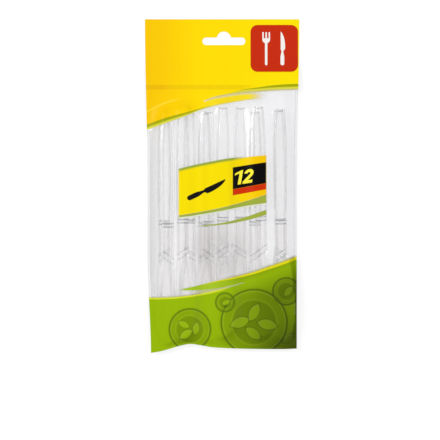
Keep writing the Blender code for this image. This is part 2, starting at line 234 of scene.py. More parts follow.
def flare(y):
    return HEADER_FLARE * (1 - ease((TOP_EDGE - y) / FLARE_LENGTH))


def left_edge(y):
    pull = CORNER_PULL * ease((CORNER_LENGTH - TOP_EDGE - y) / CORNER_LENGTH)
    return pull - HALF_BAG - flare(y)


def right_edge(y):
    return HALF_BAG + flare(y)


def bottom_edge(x):
    corner = CORNER_PULL - HALF_BAG
    share = min(max((x - corner) / (HALF_BAG - corner), 0.0), 1.0)
    return smooth_curve(BOTTOM_LIFT, share) - TOP_EDGE


def bulge(distance):
    share = min(max(distance / SIDE_ROUND, 0.0), 1.0)
    return (1 - (1 - share) ** SIDE_POWER) ** (1 / SIDE_POWER)


def fullness(x, y):
    sides = bulge(x - left_edge(y) - SEAM) * bulge(right_edge(y) - SEAM - x)
    return sides * bulge(y - bottom_edge(x) - SEAM) * ease((WELD_BOTTOM - y) / TOP_SLOPE)


def inside_pouch(x, y):
    """How far a place is inside the seams; negative outside them."""
    return min(
        x - left_edge(y) - SEAM, right_edge(y) - SEAM - x, y - bottom_edge(x) - SEAM, WELD_BOTTOM - y
    )


# Knives


def smooth_rows(rows, count):
    """Rows of numbers resampled along a smooth curve through them, by the first number of each."""
    rows = np.array(rows, float)
    along = rows[:, 0]
    fine = [along[0] + (along[-1] - along[0]) * k / (count - 1) for k in range(count)]
    fine = np.unique(np.concatenate([fine, along]))
    cell = np.clip(np.searchsorted(along, fine, "right") - 1, 0, len(along) - 2)
    span = along[cell + 1] - along[cell]
    part = (fine - along[cell]) / span
    out = [fine]
    for values in rows.T[1:]:
        step = np.diff(values) / np.diff(along)
        slopes = np.zeros(len(values))
        slopes[0], slopes[-1] = step[0], step[-1]
        for i in range(1, len(values) - 1):
            if step[i - 1] * step[i] > 0:
                slopes[i] = 2 * step[i - 1] * step[i] / (step[i - 1] + step[i])
        leave, arrive = span * slopes[cell], span * slopes[cell + 1]
        out.append(bend(part, values[cell], values[cell + 1], leave, arrive))
    return np.array(out).T


def knife_rows():
    """Key cross-sections: distance, belly reach, spine reach, rim height, web height and slant."""
    end, grip, neck = END_WIDTH / 2, GRIP_WIDTH / 2, NECK_WIDTH / 2
    rows = []
    for share, half, depth in (
        (0.0, end - EDGE_ROUND, 0.80), (0.008, end, 0.86), (0.12, end + (grip - end) * 0.45, 0.96),
        (0.30, grip - (grip - end) * 0.06, 1.0), (0.60, grip, 1.0), (0.85, neck + (grip - neck) * 0.7, 1.0),
    ):
        rows.append((HANDLE_LENGTH * share, half, half, HANDLE_DEPTH * depth, WEB, 0.0))
    collar = HANDLE_LENGTH - COLLAR_LENGTH
    for offset, rise in ((0.0, 0.0), (0.3, COLLAR_RISE), (0.7, COLLAR_RISE), (1.0, 0.0)):
        rows.append((collar + COLLAR_LENGTH * offset, neck, neck, NECK_DEPTH, WEB + rise, 0.0))
    rows.append((SHOULDER - NECK_LENGTH * 0.5, neck, neck, NECK_DEPTH, WEB, 0.35))
    rows.append((SHOULDER - SHOULDER_LENGTH, neck, neck, NECK_DEPTH, WEB, 1.0))

    def blade(place, belly, spine, rise, slant):
        top = SPINE_THICKNESS + rise
        rows.append((SHOULDER + place, belly, spine, top, top - EDGE_ROUND / 8, slant))

    blade(0.0, neck * 1.02, neck * 1.02, 0.0, 1.0)
    for ridge in SHOULDER_RIDGES:
        for offset, rise in ((-0.5, 0.0), (0.0, RIDGE_HEIGHT), (0.5, 0.0)):
            place = ridge + offset * RIDGE_WIDTH
            blade(place, neck * (1.02 + 0.9 * place / BLADE_LENGTH), neck, rise, 1.0)
    widen = BELLY_REACH - neck
    for share, belly, spine, slant in (
        (0.13, neck + widen * 0.27, 0.96, 0.6), (0.26, neck + widen * 0.56, 0.99, 0.25),
        (0.43, neck + widen * 0.84, 1.0, 0.0), (0.60, BELLY_REACH, 1.0, 0.0),
        (0.74, BELLY_REACH * 0.97, 0.95, 0.0), (0.85, BELLY_REACH * 0.83, 0.84, 0.0),
        (0.93, BELLY_REACH * 0.58, 0.68, 0.0), (0.98, BELLY_REACH * 0.25, 0.46, 0.0), (1.0, 0.0, 0.24, 0.0),
    ):
        blade(BLADE_LENGTH * share, belly, SPINE_REACH * spine, 0.0, slant)
    return rows


def corner(x, z, dx, dz, size):
    """Three points round a corner: out along (dx, 0), the middle, and out along (0, dz)."""
    middle = size * (1 - math.sqrt(0.5))
    return [(x - dx * size, z), (x - dx * middle, z - dz * middle), (x, z - dz * size)]


def knife_ring(row):
    """Points round one section, with rounded edges; a channel open upwards, or a ground blade."""
    along, belly, spine, rim, web, slant = row
    flat = ease((along - SHOULDER) / (BLADE_LENGTH * 0.12))
    width = belly + spine
    wall = min(SIDE_WALL, width * 0.3) * (1 + 1.3 * flat)
    foot = min(EDGE_ROUND, rim * 0.3)
    thin = EDGE_THICKNESS + (rim - EDGE_THICKNESS) * (1 - flat)
    lip = min(EDGE_ROUND * 0.8, max(rim - web, 0.0) * 0.4 + LEAST_LIP)
    fade = (width - 2 * (wall + lip)) * 0.16
    left, right = wall - belly, spine - wall
    points = corner(-belly, 0.0, -1, -1, foot)[::-1]
    points += corner(spine, 0.0, 1, -1, foot)
    points += corner(spine, rim, 1, 1, lip)[::-1]
    points += [(right + lip, rim), (right, rim - lip), (right, web + lip)]
    points += [(right - lip, web), (right - lip - fade, web)]
    points += [(left + lip + fade, web), (left + lip, web), (left, web + lip)]
    points += [(left, rim - lip), (left - lip, rim)]
    for x, drop in ((lip - belly, 0.0), (lip * 0.3 - belly, lip * 0.3), (-belly, lip)):
        points.append((x, (rim - drop) * (1 - flat) + (thin - drop) * flat))
    return [Vector((x, -along - slant * SHOULDER_SLOPE * x, z)) for x, z in points]


def knife_mesh(material):
    """The moulding, with shares of wall and of crease on its points for the material to read, for its
    painted highlights and painted shade.
    """
    bm = bmesh.new()
    wall = bm.verts.layers.float.new("wall")
    crease = bm.verts.layers.float.new("crease")
    rings = []
    for row in smooth_rows(knife_rows(), KNIFE_RINGS):
        ring = [bm.verts.new(p) for p in knife_ring(row)]
        for number, vert in enumerate(ring):
            vert[wall] = 1.0 if number in WALL_POINTS else 0.0
            vert[crease] = 1.0 if number in CREASE_POINTS else 0.0
        rings.append(ring)
    for ring, following in zip(rings, rings[1:]):
        for i in range(len(ring)):
            k = (i + 1) % len(ring)
            bm.faces.new([ring[i], ring[k], following[k], following[i]])
    bm.faces.new(list(reversed(rings[0])))
    bm.faces.new(rings[-1])
    bmesh.ops.recalc_face_normals(bm, faces=bm.faces)
    mesh = bpy.data.meshes.new("knife_moulding")
    bm.to_mesh(mesh)
    bm.free()
    mesh.shade_smooth()
    mesh.set_sharp_from_angle(angle=math.radians(50))
    mesh.materials.append(material)
    return mesh


def knife_place(node):
    """Where the frame's knife lies, measured on its mesh: a matrix from the knife's own frame."""
    points = np.array([v.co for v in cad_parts[node].data.vertices])
    low, high = points.min(0), points.max(0)
    end = points[points[:, 1] > high[1] - EDGE_ROUND]
    axis = end[:, 0].mean()
    near_collar = points[np.abs(points[:, 1] - (high[1] - HANDLE_LENGTH)) < COLLAR_LENGTH]
    lean = math.atan2(near_collar[:, 0].mean() - axis, HANDLE_LENGTH)
    upright = axis - low[0] > high[0] - axis
    place = Vector((axis, high[1], low[2] if upright else high[2]))
    flip = Matrix.Identity(4) if upright else Matrix.Rotation(math.pi, 4, "Y")
    return Matrix.Translation(place) @ Matrix.Rotation(lean, 4, "Z") @ flip


def make_knives(material):
    mesh = knife_mesh(material)
    pieces = []
    for number in range(1, KNIFE_COUNT + 1):
        node = f"knife_{number:02d}"
        piece = link_object(f"moulded_{node}", mesh)
        piece.matrix_world = knife_place(node)
        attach(piece, "root")
        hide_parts(node)
        pieces.append(piece)
    return pieces


# Film


def seam_level(y):
    fall = ease((y - WELD_TOP) / HEADER_DROP)
    return SEAM_LEVEL + (FILM - SEAM_LEVEL) * fall


class Drape:
    """The front film pulled tight over the knives, as heights on an even grid."""

    def __init__(self, knives):
        self.tree = surface_tree(knives)
        self.x0, self.y0 = BAG_LOW.x, BAG_LOW.y
        self.nx = int(math.ceil((BAG_HIGH.x - self.x0) / DRAPE_PITCH)) + 1
        self.ny = int(math.ceil((BAG_HIGH.y - self.y0) / DRAPE_PITCH)) + 1
        self.heights = self.solve()

    def solve(self):
        floor = np.full((self.ny, self.nx), SEAM_LEVEL)
        free = np.zeros((self.ny, self.nx), bool)
        for j in range(self.ny):
            y = self.y0 + j * DRAPE_PITCH
            for i in range(self.nx):
                x = self.x0 + i * DRAPE_PITCH
                if inside_pouch(x, y) <= 0:
                    continue
                free[j, i] = True
                floor[j, i] = max(SEAM_LEVEL, look_down(self.tree, x, y) + DRAPE_CLEARANCE)
        padded = np.pad(floor, 1)
        for dj in (0, 1, 2):
            for di in (0, 1, 2):
                floor = np.maximum(floor, padded[dj : dj + self.ny, di : di + self.nx])
        level = floor
        sag = DRAPE_SAG * DRAPE_PITCH**2 / 4
        for _ in range(DRAPE_ROUNDS):
            mean = level.copy()
            around = level[:-2, 1:-1] + level[2:, 1:-1] + level[1:-1, :-2] + level[1:-1, 2:]
            mean[1:-1, 1:-1] = around / 4
            level = np.where(free, np.maximum(mean - sag, floor), SEAM_LEVEL)
        return level

    def at(self, x, y):
        u = min(max((x - self.x0) / DRAPE_PITCH, 0.0), self.nx - 1.001)
        v = min(max((y - self.y0) / DRAPE_PITCH, 0.0), self.ny - 1.001)
        i, j = int(u), int(v)
        s, t = u - i, v - j
        h = self.heights
        low = h[j, i] * (1 - s) + h[j, i + 1] * s
        high = h[j + 1, i] * (1 - s) + h[j + 1, i + 1] * s
        return max(low * (1 - t) + high * t, self.resting(x, y))

    def resting(self, x, y):
        """The height that clears the knives right round this place, or the seam's where none is near."""
        level = SEAM_LEVEL
        for dx, dy in ((0, 0), (EDGE_PITCH, 0), (-EDGE_PITCH, 0), (0, EDGE_PITCH), (0, -EDGE_PITCH)):
            level = max(level, look_down(self.tree, x + dx, y + dy) + KNIFE_CLEARANCE)
        return level


def folds(x, y):
    """Small folds of the front film: down from the weld band, in from the side seams, and slack."""
    inside = inside_pouch(x, y)
    if inside <= 0:
        return 0.0
    below = WELD_BOTTOM - y
    side = min(x - left_edge(y), right_edge(y) - x)
    fan = noise.noise(Vector((x * 230, y * 14, 0.3))) * math.exp(-((below / FAN_REACH) ** 2))
    pucker = noise.noise(Vector((1.7, y * 160, x * 20))) * math.exp(-((side / PUCKER_REACH) ** 2))
    slack = noise.noise(Vector((x * 55, y * 11, 4.1)))
    value = FAN_FOLD * fan + PUCKER_FOLD * pucker + SLACK_FOLD * slack
    deepest = -0.00012 if below < 0.02 or side < 0.008 else -0.00003
    return ease(inside / 0.0025) * max(value, deepest)


def front_height(x, y):
    """The outer face of the front film or header."""
    if y >= WELD_BOTTOM:
        wave = HEADER_WAVE * (1 + noise.noise(Vector((x * 24, y * 30, 7.7))))
        return seam_level(y) + wave * ease((y - WELD_TOP) / 0.012) + FILM
    if inside_pouch(x, y) <= 0:
        return drape.resting(x, y) + FILM
    return drape.at(x, y) + folds(x, y) + FILM


def back_height(x, y):
    """The outer face of the back film or header."""
    if y >= WELD_BOTTOM:
        return front_height(x, y) - 2 * FILM
    return SEAM_LEVEL + fullness(x, y) * (FILM - SEAM_LEVEL) - FILM


def fine_steps(end, way):
    """Places from an edge inwards, past the seam's line, at a fine pitch; way is 1 or -1."""
    line = end + way * SEAM
    count = int((EDGE_BAND - SEAM) / EDGE_PITCH)
    return [end + way * SEAM * 0.5, line] + [line + way * EDGE_PITCH * (k + 1) for k in range(count)]


def stepped(low, high, fine_high):
    """Places from low to high, at a fine pitch near low and, where asked, near high."""
    places = [low] + fine_steps(low, 1)
    tail = fine_steps(high, -1)[::-1] if fine_high else []
    start, stop = places[-1], tail[0] if tail else high
    count = int(round((stop - start) / FILM_PITCH))
    places += [start + (stop - start) * (k + 1) / count for k in range(count - 1)]
    return places + tail + [high]


def film_grid():
    """Rows of places over the bag, and the index of the row on the weld band's lower line."""
    columns = stepped(left_edge(0.0), right_edge(0.0), True)
    shares = [(x - columns[0]) / (columns[-1] - columns[0]) for x in columns]
    lower = stepped(-TOP_EDGE, WELD_BOTTOM, False)
    rows = []
    for nominal in lower:
        rise = (nominal + TOP_EDGE) / (WELD_BOTTOM + TOP_EDGE)
        row = []
        for share in shares:
            y = nominal
            for _ in range(4):
                x = left_edge(y) + share * (right_edge(y) - left_edge(y))
                y = nominal + (bottom_edge(x) + TOP_EDGE) * (1 - ease(rise * 1.6))
            row.append((x, y))
        rows.append(row)
    count = int(round((TOP_EDGE - WELD_BOTTOM) / FILM_PITCH))
    for k in range(1, count + 1):
        y = WELD_BOTTOM + (TOP_EDGE - WELD_BOTTOM) * k / count
        rows.append([(left_edge(y) + s * (right_edge(y) - left_edge(y)), y) for s in shares])
    return rows, len(lower) - 1


def add_shell(bm, grid, upper, lower, hollow):
    """Adds a closed surface between two heights over a grid; a hollow one faces inwards."""
    tops, floors = [], []
    last_row, last_column = len(grid) - 1, len(grid[0]) - 1
    for j, row in enumerate(grid):
        tops.append([bm.verts.new((x, y, upper(x, y))) for x, y in row])
        floors.append([])
        for i, (x, y) in enumerate(row):
            joined = hollow and (j in (0, last_row) or i in (0, last_column))
            floors[-1].append(tops[-1][i] if joined else bm.verts.new((x, y, lower(x, y))))

    def face(corners, index):
        made = bm.faces.new(corners[::-1] if hollow else corners)
        made.material_index = index
        made.smooth = True

    for j in range(last_row):
        for i in range(last_column):
            around = [(j, i), (j, i + 1), (j + 1, i + 1), (j + 1, i)]
            face([tops[a][b] for a, b in around], 0)
            face([floors[a][b] for a, b in reversed(around)], 1)
    if hollow:
        return
    rim = [(0, i) for i in range(last_column + 1)]
    rim += [(j, last_column) for j in range(1, last_row + 1)]
    rim += [(last_row, i) for i in range(last_column - 1, -1, -1)]
    rim += [(j, 0) for j in range(last_row - 1, 0, -1)]
    for (a, b), (c, d) in zip(rim, rim[1:] + rim[:1]):
        face([floors[a][b], floors[c][d], tops[c][d], tops[a][b]], 0)


def arc(centre, radius, start, end, segments):
    return [
        (centre[0] + radius * math.cos(angle), centre[1] + radius * math.sin(angle))
        for angle in (start + (end - start) * i / segments for i in range(segments + 1))
    ]


def slot_outline():
    bottom = TOP_EDGE - SLOT_DEPTH - SLOT_HEIGHT
    end = SLOT_HEIGHT / 2
    reach = SLOT_WIDTH / 2 - end
    hump_centre = bottom + SLOT_HEIGHT + HUMP_RISE - HUMP_RADIUS
    foot = math.asin((bottom + SLOT_HEIGHT - hump_centre) / HUMP_RADIUS)
    points = arc((SLOT_SHIFT + reach, bottom + end), end, -math.pi / 2, math.pi / 2, 20)
    points += arc((SLOT_SHIFT, hump_centre), HUMP_RADIUS, foot, math.pi - foot, 36)
    points += arc((SLOT_SHIFT - reach, bottom + end), end, math.pi / 2, 1.5 * math.pi, 20)
    return points


def prism(name, outline, low, high):
    bm = bmesh.new()
    bm.faces.new([bm.verts.new((x, y, low)) for x, y in outline])
    thicken(bm, high - low)
    return mesh_object(name, bm)


def cut_openings(film):
    """Cuts the hang slot through the header, and a small round vent through the back film."""
    vent_y = bottom_edge(VENT_SHIFT) + SEAM + VENT_HEIGHT
    ring = arc((VENT_SHIFT, vent_y), VENT_RADIUS, 0.0, 2 * math.pi, 24)[:-1]
    cutters = [
        prism("slot_cut", slot_outline(), CUT_LOW, CUT_HIGH),
        prism("vent_cut", ring, CUT_LOW, FILM * 2),
    ]
    for cutter in cutters:
        cut = film.modifiers.new(cutter.name, "BOOLEAN")
        cut.operation = "DIFFERENCE"
        cut.solver = "MANIFOLD"
        cut.object = cutter
    graph = bpy.context.evaluated_depsgraph_get()
    done = bpy.data.meshes.new_from_object(film.evaluated_get(graph))
    film.modifiers.clear()
    film.data = done
    for cutter in cutters:
        bpy.data.objects.remove(cutter, do_unlink=True)
    done.shade_smooth()
    done.set_sharp_from_angle(angle=math.radians(45))


def make_film(front, back):
    grid, weld_row = film_grid()
    bm = bmesh.new()
    add_shell(bm, grid, front_height, back_height, False)
    inner = [row[2:-2] for row in grid[2 : weld_row + 1]]
    add_shell(
        bm, inner, lambda x, y: front_height(x, y) - FILM, lambda x, y: back_height(x, y) + FILM, True
    )
    film = mesh_object("printed_film_bag", bm)
    film.data.materials.append(front)
    film.data.materials.append(back)
    cut_openings(film)
    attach(film, "root")
    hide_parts("bag")
    return film


# Prints on the film


def lay_on_film(bm, lift):
    """Bends a flat pattern to the film, after cutting it along an even grid."""
    xs = [v.co.x for v in bm.verts]
    ys = [v.co.y for v in bm.verts]
    for axis, places in ((Vector((1, 0, 0)), xs), (Vector((0, 1, 0)), ys)):
        low, high = min(places), max(places)
        count = int((high - low) / PRINT_PITCH)
        for k in range(1, count + 1):
            at = axis * (low + (high - low) * k / (count + 1))
            whole = bm.verts[:] + bm.edges[:] + bm.faces[:]
            bmesh.ops.bisect_plane(bm, geom=whole, plane_co=at, plane_no=axis, dist=1e-7)
    for vert in bm.verts:
        x, y = vert.co.x, vert.co.y
        vert.co.z = (look_down(film_surface, x, y) or front_height(x, y)) + lift


def print_piece(name, outlines, material, layer=0):
    """A thin piece of ink with the outlines of one or more simple shapes."""
    bm = bmesh.new()
    for outline in outlines:
        bm.faces.new([bm.verts.new((x, y, 0)) for x, y in outline])
    bm.normal_update()
    bmesh.ops.triangulate(bm, faces=bm.faces)
    lay_on_film(bm, INK_LIFT + layer * INK_THICKNESS)
    thicken(bm, INK_THICKNESS)
    piece = mesh_object(name, bm)
    piece.data.materials.append(material)
    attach(piece, "root")


def turned(points, centre, angle):
    """Points in a pattern's own frame, x right and y up, placed on the pack."""
    cos, sin = math.cos(angle), math.sin(angle)
    return [(centre[0] + x * cos - y * sin, centre[1] + x * sin + y * cos) for x, y in points]


def rounded_box(width, height, radius):
    w, h = width / 2 - radius, height / 2 - radius
    points = []
    for k, (x, y) in enumerate(((w, h), (-w, h), (-w, -h), (w, -h))):
        points += arc((x, y), radius, k * math.pi / 2, (k + 1) * math.pi / 2, 8)
    return points


def knife_pattern(length):
    """A plain knife lying along x, handle at the left."""
    grip, neck, back, belly = (length * share for share in (0.056, 0.030, 0.050, 0.082))
    handle, heel = length * 0.43, length * 0.48
    points = arc((grip, 0), grip, math.pi / 2, 1.5 * math.pi, 10)
    points += [(handle * 0.6, -grip), (handle * 0.9, -neck), (handle, -neck), (heel, -belly * 0.94)]
    tip = length - heel
    for k in range(1, 15):
        share = k / 14
        points.append((heel + tip * share, back - (back + belly) * (1 - share**2.6) ** 0.75))
    points += [(heel, back), (handle, neck), (handle * 0.9, neck), (handle * 0.6, grip)]
    return points


def fork_pattern(length):
    """A plain fork standing along y, in parts that don't overlap."""
    half, neck, slim = length * 0.115, length * 0.14, length * 0.036
    shoulder = neck + half * 1.4
    bowl = arc((0, neck + half * 1.1), half, math.pi, 2 * math.pi, 12)
    parts = [bowl + [(half, shoulder), (-half, shoulder)]]
    tine = slim * 0.62
    for k in (-1, 0, 1):
        x = k * (half - tine)
        foot = [(x - tine, shoulder), (x + tine, shoulder)]
        parts.append(foot + arc((x, length / 2 - slim), tine, 0.0, math.pi, 6))
    stem = arc((0, -length / 2 + slim), slim, math.pi, 2 * math.pi, 8)
    parts.append(stem + [(slim, neck + half * 0.12), (-slim, neck + half * 0.12)])
    return parts


def figure_one():
    """A heavy 1 in a box one high, as one outline."""
    return [(0.25, 0.0), (0.46, 0.0), (0.46, 1.0), (0.34, 1.0), (-0.05, 0.84), (-0.05, 0.69), (0.25, 0.79)]


def figure_two():
    """A heavy 2 in a box one high, as one outline."""
    centre, outer, inner = (0.30, 0.69), 0.31, 0.10
    points = arc(centre, outer, math.radians(175), math.radians(-38), 16)
    points += [(0.31, 0.21), (0.62, 0.21), (0.62, 0.0), (-0.02, 0.0), (-0.02, 0.17)]
    points += arc(centre, inner, math.radians(-45), math.radians(175), 10)
    return points


def make_number(material):
    """The number of knives, twelve, in plain heavy slanted figures."""
    left, top, right, low = NUMBER_BOX
    width, height = (right - left) * PIXEL, (low - top) * PIXEL
    rise = math.tan(LABEL_TILT)
    outlines = []
    for start, figure in ((0.0, figure_one()), (FIGURE_STEP, figure_two())):
        outline = []
        for u, v in figure:
            x = (start + u + FIGURE_SLANT * v) / (FIGURES_WIDTH + FIGURE_SLANT) * width
            outline.append((px(left) + x, py(low) + v * height + x * rise))
        outlines.append(outline)
    print_piece("number_print", outlines, material)


def ink_material(name, colour):
    g = Graph(name)
    tone = g.blend(g.times(g.noise(900, 2.0), 0.01), colour, WHITE)
    normal = g.bump(g.noise(90, 2.0, (1.0, 0.3, 0.4)), 0.3, 0.0003)
    return g.done(ink_shader(g, tone, normal))


def ink_shader(g, colour, normal):
    """Printed film: even ink with a little gloss, the same at every slant."""
    ink = g.principled(colour, 0.4, normal, specular=0.0)
    return g.mix(INK_GLOSS, ink, g.gloss(0.25, normal))


def make_prints():
    white = ink_material("white_ink", WHITE)
    left, top, right, low = BADGE_BOX
    x, y = (px(left) + px(right)) / 2, (py(top) + py(low)) / 2
    width, height = (right - left) * PIXEL, (low - top) * PIXEL
    badge = turned(rounded_box(width, height, BADGE_ROUND * PIXEL), (x, y), 0.0)
    print_piece("badge_print", [badge], ink_material("red_ink", RED))
    apart, tall = width * 0.17, height * 0.72
    fork = [turned(part, (x - apart, y), 0.0) for part in fork_pattern(tall)]
    print_piece("fork_print", fork, white, 1)
    knife = turned(knife_pattern(tall), (x + apart, y - height * 0.36), math.pi / 2)
    print_piece("small_knife_print", [knife], white, 1)
    left, top, right, low = WORD_BOX
    reach = math.hypot(right - left, top - low) * PIXEL
    knife = turned(knife_pattern(reach), (px(left), py(low)), math.atan2(low - top, right - left))
    print_piece("knife_print", [knife], ink_material("black_ink", BLACK))
    make_number(ink_material("yellow_ink", YELLOW_NUMBER))


# Materials
CURVE_PAD = 0.004
EDGE_SOFT = 0.35


class Graph:
    """A node material built by short calls; numbers and sockets mix freely."""

    def __init__(self, name):
        self.material = bpy.data.materials.new(name)
        self.material.use_nodes = True
        self.tree = self.material.node_tree
        self.tree.nodes.clear()
        self.place = self.out("ShaderNodeTexCoord", {}, "Object")
        split = self.node("ShaderNodeSeparateXYZ")
        self.join(self.place, split.inputs[0])
        self.x, self.y, self.z = split.outputs

    def node(self, kind, **settings):
        made = self.tree.nodes.new(kind)
        for key, value in settings.items():
            setattr(made, key, value)
        return made

    def join(self, source, socket):
        if isinstance(source, bpy.types.NodeSocket):
            self.tree.links.new(source, socket)
        elif source is not None:
            socket.default_value = source

    def out(self, kind, inputs, output=0, **settings):
        """One output of a new node that has these values or sockets on its inputs."""
        made = self.node(kind, **settings)
        for name, source in inputs.items():
            self.join(source, made.inputs[name])
        return made.outputs[output]

    def math(self, operation, *values, clamp=False):
        return self.out("ShaderNodeMath", dict(enumerate(values)), operation=operation, use_clamp=clamp)

    def times(self, first, second):
        return self.math("MULTIPLY", first, second)

    def minus(self, first, second):
        return self.math("SUBTRACT", first, second)

    def most(self, first, second):
        return self.math("MAXIMUM", first, second)

    def scaled(self, value, factor, base, clamp=False):
        """The value times the factor, plus the base."""
        return self.math("MULTIPLY_ADD", value, factor, base, clamp=clamp)

    def step(self, value, low, high):
        """0 below low to 1 above high, with soft ends."""
        ends = {"Value": value, "From Min": low, "From Max": high}
        return self.out("ShaderNodeMapRange", ends, interpolation_type="SMOOTHSTEP")

    def across(self, low, high):
        """0 to 1 between two of the photograph's columns."""
        return self.step(self.x, px(low), px(high))

    def reach(self, centre):
        """The distance from a place in the pack's plane."""
        dx, dy = self.minus(self.x, centre[0]), self.minus(self.y, centre[1])
        return self.math("SQRT", self.math("ADD", self.times(dx, dx), self.times(dy, dy)))

    def blend(self, share, first, second, kind="MIX"):
        colours = {0: share, 6: first, 7: second}
        return self.out("ShaderNodeMix", colours, 2, data_type="RGBA", blend_type=kind)

    def curve(self, points):
        """The height, at this x, of a smooth line through places in the pack's plane."""
        low_x, wide = BAG_LOW.x, BAG_HIGH.x - BAG_LOW.x
        heights = [y for _, y in points]
        low, high = min(heights) - CURVE_PAD, max(heights) + CURVE_PAD
        made = self.node("ShaderNodeFloatCurve")
        line = made.mapping.curves[0]
        places = [((x - low_x) / wide, (y - low) / (high - low)) for x, y in sorted(points)]
        line.points[0].location = places[0]
        line.points[1].location = places[-1]
        for place in places[1:-1]:
            line.points.new(*place)
        made.mapping.update()
        self.join(self.scaled(self.x, 1 / wide, -low_x / wide), made.inputs["Value"])
        return self.scaled(made.outputs[0], high - low, low)

    def noise(self, scale, detail=2.0, stretch=(1, 1, 1)):
        moved = self.out("ShaderNodeMapping", {0: self.place, "Scale": stretch})
        return self.out("ShaderNodeTexNoise", {"Vector": moved, "Scale": scale, "Detail": detail}, "Fac")

    def attribute(self, name):
        return self.out("ShaderNodeAttribute", {}, "Fac", attribute_name=name)

    def both(self, *masks):
        whole = masks[0]
        for mask in masks[1:]:
            whole = self.times(whole, mask)
        return whole

    def bump(self, height, strength, distance):
        return self.out("ShaderNodeBump", {"Strength": strength, "Distance": distance, "Height": height})

    def principled(self, colour, roughness, normal=None, specular=0.5):
        inputs = {"Base Color": colour, "Roughness": roughness, "Normal": normal}
        inputs["Specular IOR Level"] = specular
        return self.out("ShaderNodeBsdfPrincipled", inputs)

    def clear(self, colour):
        return self.out("ShaderNodeBsdfTransparent", {0: colour})

    def gloss(self, roughness, normal):
        inputs = {"Color": (1, 1, 1, 1), "Roughness": roughness, "Normal": normal}
        return self.out("ShaderNodeBsdfGlossy", inputs)

    def mix(self, share, first, second):
        return self.out("ShaderNodeMixShader", {0: share, 1: first, 2: second})

    def facing(self, blend, normal):
        return self.out("ShaderNodeLayerWeight", {"Blend": blend, "Normal": normal}, "Facing")

    def sheen(self, least, rise, normal):
        """The share of light mirrored: least face on, and more along slanting faces."""
        return self.scaled(self.math("POWER", self.facing(0.5, normal), 3.0), rise, least)

    def done(self, shader):
        made = self.node("ShaderNodeOutputMaterial")
        self.join(shader, made.inputs["Surface"])
        return self.material


def srgb(red, green, blue):
    """A colour given in 0 to 255, as linear values."""
    out = []
    for value in (red, green, blue):
        share = value / 255
        out.append(share / 12.92 if share <= 0.04045 else ((share + 0.055) / 1.055) ** 2.4)
    return (*out, 1.0)


YELLOW = srgb(255, 221, 2)
YELLOW_LEFT = srgb(247, 198, 4)
YELLOW_RIGHT = srgb(255, 231, 4)
YELLOW_TONGUE = srgb(248, 222, 34)
# Colour of a painted highlight: a lighter yellow line on the header
YELLOW_HIGHLIGHT = srgb(252, 224, 70)
YELLOW_WELD = srgb(233, 184, 2)
YELLOW_RIB = srgb(224, 184, 2)
YELLOW_LABEL = srgb(249, 224, 2)
OLIVE = srgb(166, 170, 10)
LIME = srgb(220, 217, 64)
GREY_LINE = srgb(204, 194, 128)
GAP_TONE = srgb(224, 212, 140)
GREEN = srgb(151, 184, 5)
GREEN_LIGHT = srgb(166, 196, 40)
GREEN_DARK = srgb(88, 116, 8)
GREEN_LINE = srgb(150, 168, 56)
GREEN_SOFT = srgb(160, 174, 64)
SHADE_PLATE = (0.78, 0.80, 0.79, 1.0)
SHADE_LEAF = (0.60, 0.64, 0.60, 1.0)
SHADE_RIGHT = (0.50, 0.50, 0.70, 1.0)
SHADE_CORNER = (0.30, 0.28, 1.0, 1.0)
SHADE_TOP = (0.82, 0.80, 0.9, 1.0)
EDGE_YELLOW = srgb(226, 216, 24)
EDGE_LIME = srgb(216, 226, 40)
EDGE_SHADOW = srgb(170, 166, 80)
GAP_LOW = srgb(192, 192, 136)
PALE_BAND = srgb(226, 232, 206)
YELLOW_NUMBER = srgb(255, 240, 60)
BLACK = srgb(6, 4, 5)
RED = srgb(200, 42, 2)
RED_BAND = srgb(208, 50, 8)
WHITE = srgb(246, 244, 238)

# Tones of clear film and clear moulding, as what passes a face; the darker ones at the film's left margin,
# its crumpled patch and the knives' creases and lines are painted shade
# Painted shade: the film's left margin, darker where it slopes down to the seam
FILM_LEFT_SHADE = (0.922, 0.919, 0.914, 1.0)
FILM_LEFT_LOW_SHADE = (0.912, 0.912, 0.909, 1.0)
FILM_MIDDLE = (0.986, 0.985, 0.989, 1.0)
FILM_RIGHT = (0.972, 0.971, 0.977, 1.0)
# Painted shade over a crumpled patch of film: a greyer spot and darker crease lines
FILM_PATCH_SHADE = (0.938, 0.932, 0.933, 1.0)
FILM_CRUMPLE_SHADE = (0.86, 0.86, 0.865, 1.0)
FILM_SEAM = (0.905, 0.905, 0.912, 1.0)
FILM_HAZE = (0.92, 0.92, 0.93, 1.0)
HANDLE_CLEAR = (0.998, 0.997, 0.996, 1.0)
BLADE_CLEAR = (0.989, 0.984, 0.982, 1.0)
# Painted shade where the walls meet the web, on the handle and on the blade
HANDLE_CREASE_SHADE = (0.88, 0.88, 0.88, 1.0)
BLADE_CREASE_SHADE = (0.80, 0.795, 0.79, 1.0)
# Painted shade: the dark lines at the knife's end, collar and shoulder
KNIFE_SHADE_LINE = (0.50, 0.50, 0.51, 1.0)
KNIFE_BODY = (0.95, 0.95, 0.95, 1.0)
FLOOR_DARK = (0.29, 0.29, 0.29, 1.0)
FLOOR_PALE = (0.30, 0.30, 0.30, 1.0)

# Places and widths in the materials
SEAM_LINE, SEAM_SOFT = 0.0003, 0.0005
WELD_RIB = 0.0016
WAVES_PER_UNIT = 20 / (2 * math.pi)
COLLAR_BOW = 16.0
END_BOW = 60.0
TOP_MILK = 0.03
INK_GLOSS = 0.004
FLOOR_GLOW = 0.76
SKY_LEVEL = 0.62

